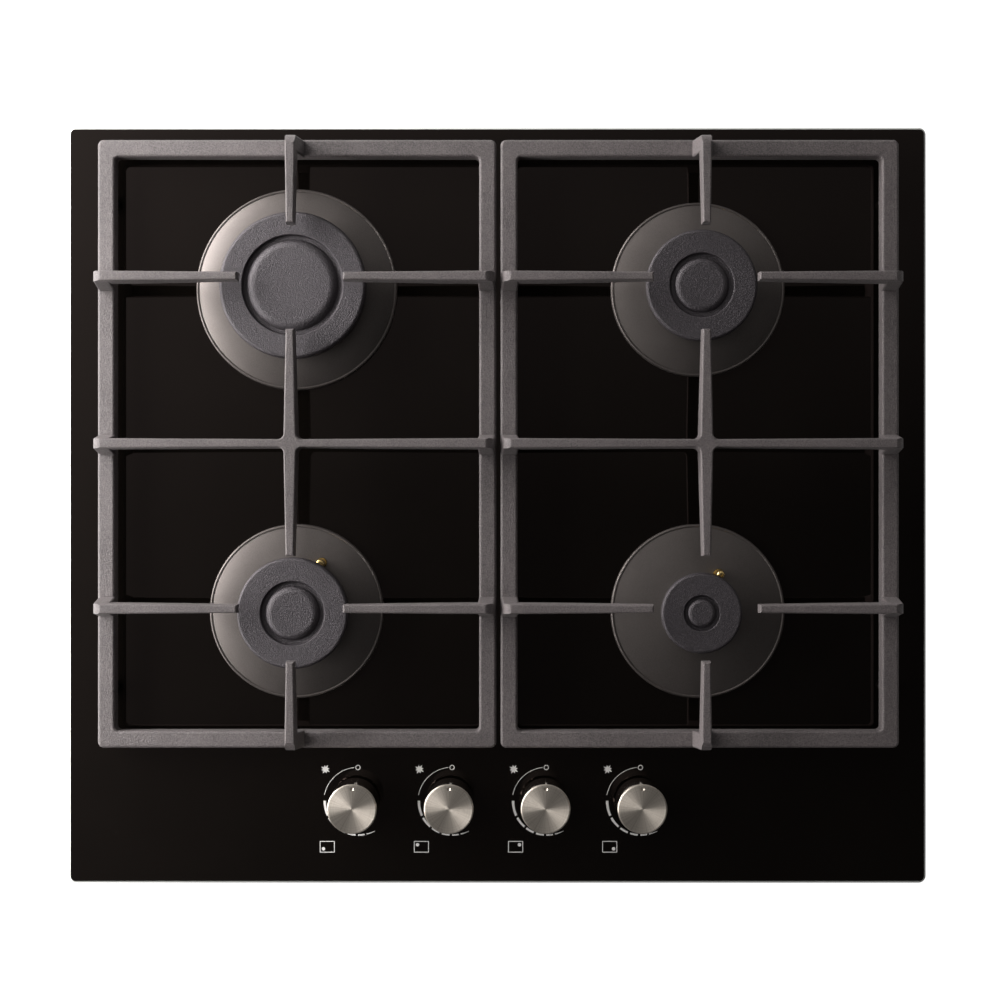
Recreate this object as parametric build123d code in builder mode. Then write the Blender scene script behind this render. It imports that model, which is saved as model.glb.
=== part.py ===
from build123d import *
import math
import os

# Four-burner gas-on-glass cooktop.  Millimetres, +X right, +Y towards the rear
# wall, +Z up.  The origin is under the centre of the glass, on the plane of
# the tray's underside, on which the cooktop stands when it is out of its
# worktop.
os.makedirs("parts", exist_ok=True)

# ---------------------------------------------------------------- dimensions
# glass
GLASS_W, GLASS_D, GLASS_T = 590.0, 520.0, 6.0
GLASS_CORNER_R = 5.0
GLASS_BEVEL = 1.5
UNDER = 48.0                      # underside of the glass
G = UNDER + GLASS_T               # top of the glass

# tray and worktop cut-out (560 x 480 nominal)
TRAY_W, TRAY_D, SHEET = 548.0, 468.0, 1.0
TRAY_LIP = 5.0
GASKET_W, GASKET_T = 8.0, 2.5
GASKET_IN_X, GASKET_IN_Y = 285.0, 250.0
STEP_X, STEP_Y, STEP_Z = 176.0, 164.0, 24.0   # raised corner for the services
INLET_X, INLET_Y, INLET_R = 246.0, 200.0, 10.48
GLAND_X, GLAND_Y, GLAND_BORE = 202.0, 200.0, 3.5
CLAMP_HOLE_X, CLAMP_HOLE_Y, CLAMP_HOLE_R = 255.0, 140.0, 2.5

# burners: centre, dish, cap, cap groove, width of the inner disc's rolled
# edge, rounding of the cap's shoulder, mixing tube, flame ports
BURNERS = {
    "rear_left": dict(x=-137.6, y=147.9, dish=69.0, cap=49.5, go=33.7, gi=30.8, roll=6.2, shoulder=2.4, probe=46.5, tube=13.0, ports=44),
    "rear_right": dict(x=137.6, y=147.9, dish=59.8, cap=37.5, go=21.4, gi=18.4, roll=4.2, shoulder=2.0, probe=35.0, tube=10.5, ports=34),
    "front_left": dict(x=-137.6, y=-72.7, dish=59.8, cap=37.5, go=21.4, gi=18.4, roll=4.8, shoulder=2.0, probe=37.7, tube=10.5, ports=34),
    "front_right": dict(x=137.6, y=-72.7, dish=59.8, cap=27.2, go=11.9, gi=9.6, roll=2.8, shoulder=2.0, probe=29.1, tube=8.0, ports=24),
}
for b in BURNERS.values():
    b["crown"] = b["cap"] - 4.0           # flame spreader's outer radius
    b["cup_in"] = b["probe"] + 3.8        # inside of the burner cup
    b["cup_out"] = b["cup_in"] + 2.0
    b["hole"] = b["cup_out"] + 1.2        # hole in the glass
PROBE_ANGLE, SPARK_ANGLE = 62.0, 242.0
DISH_SCREW_ANGLES = (32.0, 152.0, 272.0)
CUP_FLOOR = 27.0
DISH_TOP = G + 7.0
CROWN_BOTTOM, CROWN_TOP = G + 7.3, G + 18.0
CAP_BOTTOM = G + 18.1
CAP_H, CAP_RING_H, CAP_GROOVE_Z = 6.4, 5.6, 3.2
WALL = 7.0                                # flame spreader's ring wall

# pan supports
FRAME_X0, FRAME_X1 = 1.4, 271.3           # inner and outer sides, both halves
SUPPORT_SHIFT = 0.8                       # both halves sit this far to the right
FRAME_Y0, FRAME_Y1 = -164.4, 247.4
BAR_W, BAR_Z0, BAR_Z1 = 11.6, G + 7.0, G + 16.0
FINGER_TOP, FINGER_DEPTH = G + 39.0, 11.5
FINGER_Y = (151.7, 40.9, -68.8)
SPINE_X = 138.0
TIP_R = 35.2                              # finger tips to burner centre
POST_BASE, POST_TOP, POST_SET, POST_SET_OUT = 16.0, 6.0, 2.0, 2.7
POST_ROUND = 7.4                          # outer top corner of each post
END_ROUND = 1.4                           # upright corners of the posts and finger ends
FOOT_R = 4.5

# knobs and taps
KNOB_X = (-97.1, -32.4, 32.4, 97.1)
KNOB_Y = -203.2
KNOB_NAMES = ("front_left", "rear_left", "rear_right", "front_right")
KNOB_R, KNOB_Z0, KNOB_Z1 = 16.6, G + 4.8, G + 29.0
SPINDLE_R = 4.0
RAIL_Y, RAIL_R, RAIL_WALL = -221.7, 7.0, 1.5
PIPE_Z, PIPE_R = 20.0, 4.0
TAP_HALF, TAP_Z0, TAP_Z1 = 11.0, 12.0, 38.0
PLUG_Z0, PLUG_Z1 = 15.0, 29.9
PLUG_R0, PLUG_TAPER = 5.0, 0.1
FIT = 0.05                                # radial play of a working fit


def flat(x, y, z):
    """Level plane at a point."""
    return Plane(origin=(x, y, z))


def radial(x, y):
    """Upright plane through a vertical axis: first coordinate is the radius,
    second the height."""
    return Plane(origin=(x, y, 0), x_dir=(1, 0, 0), z_dir=(0, -1, 0))


def upright(x, y):
    return Axis((x, y, 0), (0, 0, 1))


def polar(b, r, angle):
    a = math.radians(angle)
    return b["x"] + r * math.cos(a), b["y"] + r * math.sin(a)


def save(piece, name):
    piece.part.label = name
    export_step(piece.part, f"parts/{name}.step")


# -------------------------------------------------------------------- glass
with BuildPart() as glass_panel:
    with BuildSketch(Plane.XY.offset(UNDER)):
        RectangleRounded(GLASS_W, GLASS_D, GLASS_CORNER_R)
        for b in BURNERS.values():
            with Locations((b["x"], b["y"])):
                Circle(b["hole"], mode=Mode.SUBTRACT)
        with Locations(*[(x, KNOB_Y) for x in KNOB_X]):
            Circle(7.0, mode=Mode.SUBTRACT)
    extrude(amount=GLASS_T)
    # ground bevel round the top edge, and a smaller arris below
    chamfer(glass_panel.faces().sort_by(Axis.Z)[-1].outer_wire().edges(), GLASS_BEVEL)
    chamfer(glass_panel.faces().sort_by(Axis.Z)[0].outer_wire().edges(), 0.8)
save(glass_panel, "glass_panel")

# foam strip between the glass and the worktop
with BuildPart() as worktop_gasket:
    with BuildSketch(Plane.XY.offset(UNDER - GASKET_T)):
        RectangleRounded(2 * (GASKET_IN_X + GASKET_W), 2 * (GASKET_IN_Y + GASKET_W), 4.0)
        RectangleRounded(2 * GASKET_IN_X, 2 * GASKET_IN_Y, 2.0, mode=Mode.SUBTRACT)
    extrude(amount=GASKET_T)
save(worktop_gasket, "worktop_gasket")

# --------------------------------------------------------------------- tray
with BuildPart() as bottom_tray:
    with BuildSketch(Plane.XY):
        RectangleRounded(TRAY_W, TRAY_D, 8.0)
    extrude(amount=UNDER)
    # lip bonded under the glass
    with BuildSketch(Plane.XY.offset(UNDER - SHEET)):
        RectangleRounded(TRAY_W + 2 * TRAY_LIP, TRAY_D + 2 * TRAY_LIP, 10.0)
    extrude(amount=SHEET)
    # raised corner, seen from below
    with BuildSketch(Plane.XY):
        with Locations(((STEP_X + SHEET + 300) / 2, (STEP_Y + SHEET + 260) / 2)):
            Rectangle(300 - STEP_X - SHEET, 260 - STEP_Y - SHEET)
    extrude(amount=STEP_Z, mode=Mode.SUBTRACT)
    # inside, above the raised corner and then round it
    with BuildSketch(Plane.XY.offset(STEP_Z + SHEET)):
        RectangleRounded(TRAY_W - 2 * SHEET, TRAY_D - 2 * SHEET, 7.0)
    extrude(amount=UNDER - STEP_Z - SHEET, mode=Mode.SUBTRACT)
    with BuildSketch(Plane.XY.offset(SHEET)):
        RectangleRounded(TRAY_W - 2 * SHEET, TRAY_D - 2 * SHEET, 7.0)
        with Locations(((STEP_X + 300) / 2, (STEP_Y + 260) / 2)):
            Rectangle(300 - STEP_X, 260 - STEP_Y, mode=Mode.SUBTRACT)
    extrude(amount=STEP_Z, mode=Mode.SUBTRACT)
    # saddles under the gas rail
    with BuildSketch(Plane.XY.offset(SHEET)):
        with Locations((-65.0, RAIL_Y), (0.0, RAIL_Y), (65.0, RAIL_Y)):
            Rectangle(12.0, 12.0)
    extrude(amount=PIPE_Z - RAIL_R - 0.05 - SHEET)
    # holes: services, clamp screws, vents
    with BuildSketch(Plane.XY.offset(STEP_Z)):
        with Locations((INLET_X, INLET_Y)):
            Circle(INLET_R + 0.5)
        with Locations((GLAND_X, GLAND_Y)):
            Circle(8.1)
    extrude(amount=SHEET, mode=Mode.SUBTRACT)
    with BuildSketch(Plane.XY):
        with GridLocations(2 * CLAMP_HOLE_X, 2 * CLAMP_HOLE_Y, 2, 2):
            Circle(CLAMP_HOLE_R)
        for vx in (-200.0, 0.0, 200.0):
            with Locations((vx, 20.0)):
                with GridLocations(11.0, 1.0, 6, 1):
                    SlotOverall(48.0, 4.0, rotation=90)
    extrude(amount=SHEET, mode=Mode.SUBTRACT)
save(bottom_tray, "bottom_tray")


# ------------------------------------------------------------- pan supports
def pan_support(side):
    """Cast grid of one half.  side is -1 on the left and +1 on the right."""
    x0, x1 = FRAME_X0, FRAME_X1
    with BuildPart() as grid:
        # four-bar frame
        with BuildSketch(Plane.XY.offset(BAR_Z0)):
            with Locations((side * (x0 + x1) / 2, (FRAME_Y0 + FRAME_Y1) / 2)):
                RectangleRounded(x1 - x0, FRAME_Y1 - FRAME_Y0, 4.0)
                RectangleRounded(x1 - x0 - 2 * BAR_W, FRAME_Y1 - FRAME_Y0 - 2 * BAR_W, 3.0, mode=Mode.SUBTRACT)
        extrude(amount=BAR_Z1 - BAR_Z0)
        fillet(grid.edges().group_by(Axis.Z)[-1], 1.8)
        # fingers, drawn in plan at their top and drafted wider downwards
        a, c, d = x0 + POST_SET, SPINE_X, x1 - POST_SET_OUT
        rear, mid, front = FINGER_Y
        outlines = [[
            (a, mid - 3.3), (a + 11, mid - 3.3), (c, mid - 2.6), (d - 11, mid - 3.3), (d, mid - 3.3),
            (d, mid + 3.3), (d - 11, mid + 3.3), (c, mid + 2.6), (a + 11, mid + 3.3), (a, mid + 3.3)]]
        for y in (rear, front):
            for u, e, t in ((a, a + 11, c - TIP_R), (d, d - 11, c + TIP_R)):
                outlines.append([(u, y - 3.3), (e, y - 3.3), (t, y - 2.6), (t, y + 2.6), (e, y + 3.3), (u, y + 3.3)])
        for u, e, t in (
            (FRAME_Y1 - POST_SET, FRAME_Y1 - POST_SET - 11, rear + TIP_R),
            (FRAME_Y0 + POST_SET, FRAME_Y0 + POST_SET + 11, front - TIP_R),
        ):
            outlines.append([(c - 3.3, u), (c - 3.3, e), (c - 2.6, t), (c + 2.6, t), (c + 3.3, e), (c + 3.3, u)])
        for t in (rear - TIP_R, front + TIP_R):
            outlines.append([(c - 4.2, mid), (c - 2.7, t), (c + 2.7, t), (c + 4.2, mid)])
        with BuildSketch(Plane.XY.offset(FINGER_TOP)) as fingers:
            for outline in outlines:
                with BuildLine():
                    Polyline(*[(side * px, py) for px, py in outline], close=True)
                make_face()
            fillet(fingers.vertices().sort_by_distance((side * c, mid, 0))[:4], 4.0)
            ends = [v for v in fingers.vertices() if abs(side * v.X - a) < 0.01 or abs(side * v.X - d) < 0.01
                    or abs(v.Y - FRAME_Y0 - POST_SET) < 0.01 or abs(v.Y - FRAME_Y1 + POST_SET) < 0.01]
            fillet(ends, END_ROUND)
        extrude(amount=-FINGER_DEPTH, taper=-2.5)
        fillet(grid.edges().group_by(Axis.Z)[-1], 1.1)
        # undersides rise towards each burner
        for yc in (rear, front):
            with BuildSketch(radial(side * c, yc)):
                with BuildLine():
                    Polyline(
                        (0, BAR_Z1 + 2), (0, FINGER_TOP - 8.0), (TIP_R, FINGER_TOP - 8.0),
                        (100, FINGER_TOP - FINGER_DEPTH - 0.01), (100, BAR_Z1 + 2), close=True)
                make_face()
            revolve(axis=upright(side * c, yc), mode=Mode.SUBTRACT)
        # posts, flared along the bar, their outer sides almost upright
        for y in FINGER_Y:
            for xa, way, inset in ((x0, 1, POST_SET), (x1, -1, POST_SET_OUT)):
                with BuildSketch(flat(side * (xa + way * BAR_W / 2), y, BAR_Z0 + 1)):
                    RectangleRounded(BAR_W, POST_BASE, END_ROUND)
                with BuildSketch(flat(side * (xa + way * (inset + 5.1)), y, FINGER_TOP - 1.3)):
                    RectangleRounded(11.0, POST_TOP, END_ROUND)
                loft()
        for ya, way in ((FRAME_Y0, 1), (FRAME_Y1, -1)):
            with BuildSketch(flat(side * SPINE_X, ya + way * BAR_W / 2, BAR_Z0 + 1)):
                RectangleRounded(POST_BASE, BAR_W, END_ROUND)
            with BuildSketch(flat(side * SPINE_X, ya + way * (POST_SET + 5.1), FINGER_TOP - 1.3)):
                RectangleRounded(POST_TOP, 11.0, END_ROUND)
            loft()
        # rounded outer corner at the top of each post
        corners = [
            (radial(0, y), side * xa, side * way, inset) for y in FINGER_Y
            for xa, way, inset in ((x0, 1, POST_SET), (x1, -1, POST_SET_OUT))]
        across = Plane(origin=(side * SPINE_X, 0, 0), x_dir=(0, 1, 0), z_dir=(1, 0, 0))
        corners += [(across, ya, way, POST_SET) for ya, way in ((FRAME_Y0, 1), (FRAME_Y1, -1))]
        for plane, edge, way, inset in corners:
            u, z, r = edge + way * (inset - 0.8), FINGER_TOP + 0.12, POST_ROUND
            with BuildSketch(plane):
                with BuildLine():
                    Polyline((u, z - r), (u - way * 4, z - r), (u - way * 4, z + 2), (u + way * r, z + 2), (u + way * r, z))
                    ThreePointArc((u + way * r, z), (u + way * r * (1 - math.sqrt(0.5)), z - r * (1 - math.sqrt(0.5))), (u, z - r))
                make_face()
            extrude(amount=9.0, both=True, mode=Mode.SUBTRACT)
        # blind holes for the rubber feet
        with BuildSketch(Plane.XY.offset(BAR_Z0)):
            with Locations(*foot_places(side)):
                Circle(2.0)
        extrude(amount=6.0, mode=Mode.SUBTRACT)
    return grid


def foot_places(side, shift=0.0):
    xs = (FRAME_X0 + BAR_W / 2, FRAME_X1 - BAR_W / 2)
    ys = (FRAME_Y0 + 40.0, FRAME_Y1 - 40.0)
    return [(side * x + shift, y) for x in xs for y in ys]


left_grid = pan_support(-1)
with BuildPart() as right_grid:
    mirror(left_grid.part, about=Plane.YZ)
for side, name, grid in ((-1, "left", left_grid), (1, "right", right_grid)):
    with BuildPart() as support:
        add(grid.part.moved(Location((SUPPORT_SHIFT, 0, 0))))
    save(support, f"pan_support_{name}")
    with BuildPart() as feet:
        with BuildSketch(Plane.XY.offset(G + 0.05)):
            with Locations(*foot_places(side, SUPPORT_SHIFT)):
                Circle(FOOT_R)
        extrude(amount=BAR_Z0 - G - 0.05)
        fillet(feet.edges().group_by(Axis.Z)[0], 0.8)
        with BuildSketch(Plane.XY.offset(BAR_Z0)):
            with Locations(*foot_places(side, SUPPORT_SHIFT)):
                Circle(2.0 - FIT)
        extrude(amount=5.5)
    save(feet, f"support_feet_{name}")

# ------------------------------------------------------------------ burners
for name, b in BURNERS.items():
    bx, by = b["x"], b["y"]
    tube_out, tube_in = b["tube"], b["tube"] - 1.8
    spark = polar(b, b["crown"] - 2.2, SPARK_ANGLE)
    probe = polar(b, b["probe"], PROBE_ANGLE)
    screw_r = b["crown"] - 8.0 if b["crown"] < 30 else b["crown"] - 10.0
    b["screws"] = [polar(b, screw_r, a) for a in DISH_SCREW_ANGLES]
    b["spark_at"], b["probe_at"] = spark, probe

    # enamelled cap with a round groove in its top; the disc inside the
    # groove rolls off in a wide arc, down to the groove's floor
    with BuildPart() as cap:
        with BuildSketch(radial(bx, by)) as cap_section:
            z, r = CAP_BOTTOM, b["cap"]
            roll, drop = b["roll"], CAP_H - CAP_GROOVE_Z
            roll_r = (roll ** 2 + drop ** 2) / (2 * drop)
            half = math.asin(roll / roll_r) / 2
            with BuildLine():
                l1 = Polyline(
                    (b["gi"] - roll, z + CAP_H), (0, z + CAP_H), (0, z + 1.2), (b["crown"] - 7.5, z + 1.2),
                    (b["crown"] - 6.0, z), (r - 0.5, z), (r, z + 0.6), (r, z + CAP_RING_H), (b["go"], z + CAP_RING_H),
                    (b["go"], z + CAP_GROOVE_Z), (b["gi"], z + CAP_GROOVE_Z))
                ThreePointArc(
                    l1 @ 1,
                    (b["gi"] - roll + roll_r * math.sin(half), z + CAP_H - roll_r * (1 - math.cos(half))),
                    l1 @ 0)
            make_face()
            for u, v, rounding in (
                (r, z + CAP_RING_H, b["shoulder"]), (b["go"], z + CAP_RING_H, 0.8), (b["go"], z + CAP_GROOVE_Z, 1.4),
            ):
                fillet(cap_section.vertices().sort_by_distance((u, v, 0))[0], rounding)
        revolve(axis=upright(bx, by))
        # three lugs that centre the cap in the spreader
        with BuildSketch(flat(bx, by, CAP_BOTTOM + 1.2)):
            with PolarLocations(b["crown"] - 9.2, 3, start_angle=20):
                Rectangle(1.6, 6.0)
        extrude(amount=-3.6)
    save(cap, f"burner_cap_{name}")

    # flame spreader: ported ring, plate and mixing tube
    with BuildPart() as spreader:
        with BuildSketch(radial(bx, by)):
            c = b["crown"]
            with BuildLine():
                Polyline(
                    (tube_in, 39.0), (tube_out, 39.0), (tube_out, CROWN_BOTTOM), (c - 0.8, CROWN_BOTTOM),
                    (c, CROWN_BOTTOM + 0.8), (c, CROWN_TOP - 0.4), (c - 0.4, CROWN_TOP), (c - WALL, CROWN_TOP),
                    (c - WALL, CROWN_BOTTOM + 3.7), (tube_in + 2.5, CROWN_BOTTOM + 3.7), (tube_in, CROWN_BOTTOM + 1.2),
                    close=True)
            make_face()
        revolve(axis=upright(bx, by))
        with BuildSketch(flat(bx, by, CROWN_BOTTOM + 5.4)):
            with PolarLocations(c - WALL / 2, b["ports"]):
                Rectangle(WALL + 1.0, 1.6)
        extrude(amount=CROWN_TOP - CROWN_BOTTOM, mode=Mode.SUBTRACT)
        # notches for the electrode and the probe
        with BuildSketch(Plane.XY.offset(CROWN_BOTTOM - 1)):
            with Locations(spark):
                Circle(3.5)
            with Locations(probe):
                Circle(3.4)
        extrude(amount=CROWN_TOP - CROWN_BOTTOM + 2, mode=Mode.SUBTRACT)
    save(spreader, f"flame_spreader_{name}")

    # dish: shallow dome with a beaded rim that bears on the glass
    with BuildPart() as dish:
        with BuildSketch(radial(bx, by)):
            d = b["dish"]
            with BuildLine():
                l1 = Polyline(
                    (c + 3.0, DISH_TOP), (tube_out + 1.0, DISH_TOP), (tube_out + 1.0, G + 4.0),
                    (b["cup_out"] + 0.5, G + 4.0), (d - 8.5, G + 1.3), (d - 6.5, G), (d, G), (d, G + 1.4), (d - 0.4, G + 2.3))
                ThreePointArc(l1 @ 1, (d - 1.2, G + 2.9), (d - 2.2, G + 2.4))
                ThreePointArc((d - 2.2, G + 2.4), ((c + 0.8 + d) / 2, (DISH_TOP + G + 2.4) / 2 + 0.55), l1 @ 0)
            make_face()
        revolve(axis=upright(bx, by))
        with BuildSketch(Plane.XY.offset(G)):
            with Locations(spark):
                Circle(3.4)
            with Locations(probe):
                Circle(3.7)
        extrude(amount=10, mode=Mode.SUBTRACT)
        with Locations(*[(p[0], p[1], DISH_TOP) for p in b["screws"]]):
            CounterSinkHole(radius=2.1, counter_sink_radius=4.1, depth=5, counter_sink_angle=90)
    save(dish, f"burner_dish_{name}")

    # cast cup under the glass: clamps the dish, carries injector and pipe
    with BuildPart() as cup:
        with BuildSketch(radial(bx, by)):
            ri, ro, fl = b["cup_in"], b["cup_out"], b["hole"] + 7.0
            mouth = tube_out + (4.0 if b["crown"] < 30 else 7.0)
            with BuildLine():
                Polyline(
                    (mouth, G + 4.0), (ro, G + 4.0), (ro, UNDER), (fl, UNDER), (fl, UNDER - 2.5),
                    (ro, UNDER - 2.5), (ro, CUP_FLOOR + 3.0), (ro - 3.0, CUP_FLOOR), (8.0, CUP_FLOOR), (8.0, 12.0),
                    (0, 12.0), (0, CUP_FLOOR + 3.0), (ri, CUP_FLOOR + 3.0), (ri, G), (mouth, G), close=True)
            make_face()
        revolve(axis=upright(bx, by))
        # bosses for the dish screws
        with BuildSketch(Plane.XY.offset(G)):
            with Locations(*b["screws"]):
                Circle(4.0)
        extrude(amount=-4.0)
        # pipe boss at the front
        with BuildSketch(Plane(origin=(bx, by - 22.0, PIPE_Z), z_dir=(0, 1, 0))):
            Circle(6.5)
        extrude(amount=18.0)
        with BuildSketch(Plane(origin=(bx, by - 22.0, PIPE_Z), z_dir=(0, 1, 0))):
            Circle(PIPE_R + FIT)
        extrude(amount=6.0, mode=Mode.SUBTRACT)
        with BuildSketch(Plane(origin=(bx, by - 16.5, PIPE_Z), z_dir=(0, 1, 0))):
            Circle(2.5)
        extrude(amount=18.0, mode=Mode.SUBTRACT)
        # gas way up to the injector seat
        with BuildSketch(flat(bx, by, PIPE_Z)):
            Circle(2.5)
        extrude(amount=10.5, mode=Mode.SUBTRACT)
        with BuildSketch(flat(bx, by, CUP_FLOOR - 2.5)):
            Circle(4.0)
        extrude(amount=6.0, mode=Mode.SUBTRACT)
        # electrode and probe holes, screw threads
        with BuildSketch(Plane.XY.offset(CUP_FLOOR - 1)):
            with Locations(spark):
                Circle(2.9)
            with Locations(probe):
                Circle(2.6)
        extrude(amount=6.0, mode=Mode.SUBTRACT)
        with BuildSketch(Plane.XY.offset(G - 1)):
            with Locations(spark):
                Circle(3.2)
            with Locations(probe):
                Circle(3.6)
        extrude(amount=6.0, mode=Mode.SUBTRACT)
        with BuildSketch(Plane.XY.offset(G - 5)):
            with Locations(*b["screws"]):
                Circle(2.0)
        extrude(amount=10.0, mode=Mode.SUBTRACT)
    save(cup, f"burner_cup_{name}")

with BuildPart() as gas_injectors:
    for b in BURNERS.values():
        with BuildSketch(radial(b["x"], b["y"])):
            with BuildLine():
                Polyline(
                    (1.2, 25.0), (3.95, 25.0), (3.95, 30.0), (5.4, 30.0), (5.4, 34.2), (3.6, 36.0), (0.5, 36.0),
                    (0.5, 34.5), (1.2, 33.5), close=True)
            make_face()
        revolve(axis=upright(b["x"], b["y"]))
save(gas_injectors, "gas_injectors")

with BuildPart() as spark_electrode_ceramics:
    for b in BURNERS.values():
        x, y = b["spark_at"]
        with BuildSketch(radial(x, y)):
            with BuildLine():
                Polyline(
                    (0, 22.0), (2.2, 22.0), (2.8, 23.4), (2.8, 63.4), (2.2, 65.4), (1.25, 65.4), (1.25, 58.0),
                    (0, 58.0), close=True)
            make_face()
        revolve(axis=upright(x, y))
save(spark_electrode_ceramics, "spark_electrode_ceramics")

with BuildPart() as spark_electrode_tips:
    for b in BURNERS.values():
        x, y = b["spark_at"]
        with BuildSketch(radial(x, y)):
            with BuildLine():
                Polyline((0, 58.0), (1.2, 58.0), (1.2, 69.4), (0.6, 70.4), (0, 70.4), close=True)
            make_face()
        revolve(axis=upright(x, y))
save(spark_electrode_tips, "spark_electrode_tips")

# thermocouples: probe beside each cap, lead to the tap's magnet unit
with BuildPart() as thermocouples:
    for kx, name in zip(KNOB_X, KNOB_NAMES):
        b = BURNERS[name]
        x, y = b["probe_at"]
        with BuildSketch(radial(x, y)):
            with BuildLine():
                l1 = Polyline(
                    (1.1, 71.5), (0.9, 70.9), (0, 70.9), (0, 22.0), (2.25, 22.0), (2.25, 50.0), (3.5, 50.0), (3.5, 61.0),
                    (2.75, 61.0), (2.75, 69.9))
                RadiusArc(l1 @ 1, l1 @ 0, -1.8)
            make_face()
        revolve(axis=upright(x, y))
        end = kx - TAP_HALF - 26.0
        with BuildLine() as route:
            FilletPolyline(
                (x, y, 22.5), (x, y, 8.0), (end - 13.0, KNOB_Y, 8.0), (end - 13.0, KNOB_Y, PIPE_Z), (end, KNOB_Y, PIPE_Z),
                radius=5.0)
        with BuildSketch(Plane(origin=route.line @ 0, z_dir=route.line % 0)):
            Circle(1.0)
        sweep(path=route.line)
save(thermocouples, "thermocouples")

# spark generator and its four leads
GEN_X, GEN_Y, GEN_W, GEN_D, GEN_H = 0.0, 176.0, 66.0, 44.0, 22.0
GEN_FRONT = GEN_Y - GEN_D / 2
with BuildPart() as spark_generator:
    with BuildSketch(flat(GEN_X, GEN_Y, SHEET)):
        RectangleRounded(GEN_W, GEN_D, 3.0)
    extrude(amount=GEN_H)
    fillet(spark_generator.edges().group_by(Axis.Z)[-1], 1.5)
    with BuildSketch(flat(GEN_X, GEN_Y, SHEET)):
        SlotOverall(GEN_W + 30.0, 14.0)
        with GridLocations(GEN_W + 16.0, 1, 2, 1):
            Circle(2.0, mode=Mode.SUBTRACT)
    extrude(amount=2.5)
save(spark_generator, "spark_generator")

LEAD_ENDS = {"rear_left": -18.0, "front_left": -6.0, "front_right": 6.0, "rear_right": 18.0}
with BuildPart() as ignition_leads:
    for name, xe in LEAD_ENDS.items():
        x, y = BURNERS[name]["spark_at"]
        with BuildLine() as route:
            FilletPolyline(
                (x, y, 22.0), (x, y, 4.0), (xe, GEN_FRONT - 22.0, 4.0), (xe, GEN_FRONT, 4.0), radius=8.0)
        with BuildSketch(Plane(origin=route.line @ 0, z_dir=route.line % 0)):
            Circle(1.3)
        sweep(path=route.line)
save(ignition_leads, "ignition_leads")

# ------------------------------------------------------------- knobs and taps
for kx, name in zip(KNOB_X, KNOB_NAMES):
    ky = KNOB_Y
    # knob: turned shell with a chamfered top edge, a dimple and a bored boss
    with BuildPart() as knob:
        with BuildSketch(radial(kx, ky)):
            r, z0, z1 = KNOB_R, KNOB_Z0, KNOB_Z1
            with BuildLine():
                Polyline(
                    (0, z1), (r - 0.8, z1), (r, z1 - 0.8), (r, z0 + 0.3), (r - 0.3, z0), (r - 1.8, z0), (r - 1.8, z1 - 3.2),
                    (6.5, z1 - 3.2), (6.5, z0 + 1.5), (0, z0 + 1.5), close=True)
            make_face()
        revolve(axis=upright(kx, ky))
        with BuildSketch(flat(kx, ky, z0)):
            Circle(SPINDLE_R + FIT)
            with Locations((0, SPINDLE_R + 0.55)):
                Rectangle(12.0, 4.0, mode=Mode.SUBTRACT)
        extrude(amount=z1 - 5.5 - z0, mode=Mode.SUBTRACT)
        with Locations((kx, ky + 13.4, z1 + 1.15)):
            Sphere(1.75, mode=Mode.SUBTRACT)
    save(knob, f"knob_{name}")

    # spindle: square tail, collar, round neck, flat near the top
    with BuildPart() as spindle:
        with BuildSketch(flat(kx, ky, 26.2)):
            Rectangle(5.0, 5.0)
        extrude(amount=7.8)
        with BuildSketch(flat(kx, ky, 34.0)):
            Circle(3.2)
        extrude(amount=1.9)
        with BuildSketch(flat(kx, ky, 35.9)):
            Circle(5.6)
        extrude(amount=2.0)
        with BuildSketch(flat(kx, ky, 37.9)):
            Circle(SPINDLE_R)
        extrude(amount=77.0 - 37.9)
        with BuildSketch(flat(kx, ky, KNOB_Z0 + 0.5)):
            with Locations((0, SPINDLE_R + 0.5)):
                Rectangle(12.0, 4.0)
        extrude(amount=30.0, mode=Mode.SUBTRACT)
    save(spindle, f"tap_spindle_{name}")

    # plug: tapered brass cone with a gas way and a square socket
    with BuildPart() as plug:
        with BuildSketch(radial(kx, ky)):
            with BuildLine():
                Polyline((0, PLUG_Z0), (PLUG_R0, PLUG_Z0), (PLUG_R0 + PLUG_TAPER * (PLUG_Z1 - PLUG_Z0), PLUG_Z1), (0, PLUG_Z1), close=True)
            make_face()
        revolve(axis=upright(kx, ky))
        with BuildSketch(flat(kx, ky, 22.5)):
            Rectangle(5.1, 5.1)
        extrude(amount=10.0, mode=Mode.SUBTRACT)
        with BuildSketch(Plane(origin=(kx, ky - 10.0, PIPE_Z - 1.2), z_dir=(0, 1, 0))):
            Circle(2.0)
        extrude(amount=20.0, mode=Mode.SUBTRACT)
    save(plug, f"tap_plug_{name}")

    # return spring, between the plug and the spindle's collar
    with BuildPart() as spring:
        with BuildLine() as coil:
            Helix(pitch=1.9, height=4.7, radius=4.7, center=(kx, ky, PLUG_Z1 + 0.6))
        with BuildSketch(Plane(origin=coil.line @ 0, z_dir=coil.line % 0)):
            Circle(0.45)
        sweep(path=coil.line, is_frenet=True)
    save(spring, f"return_spring_{name}")

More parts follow.
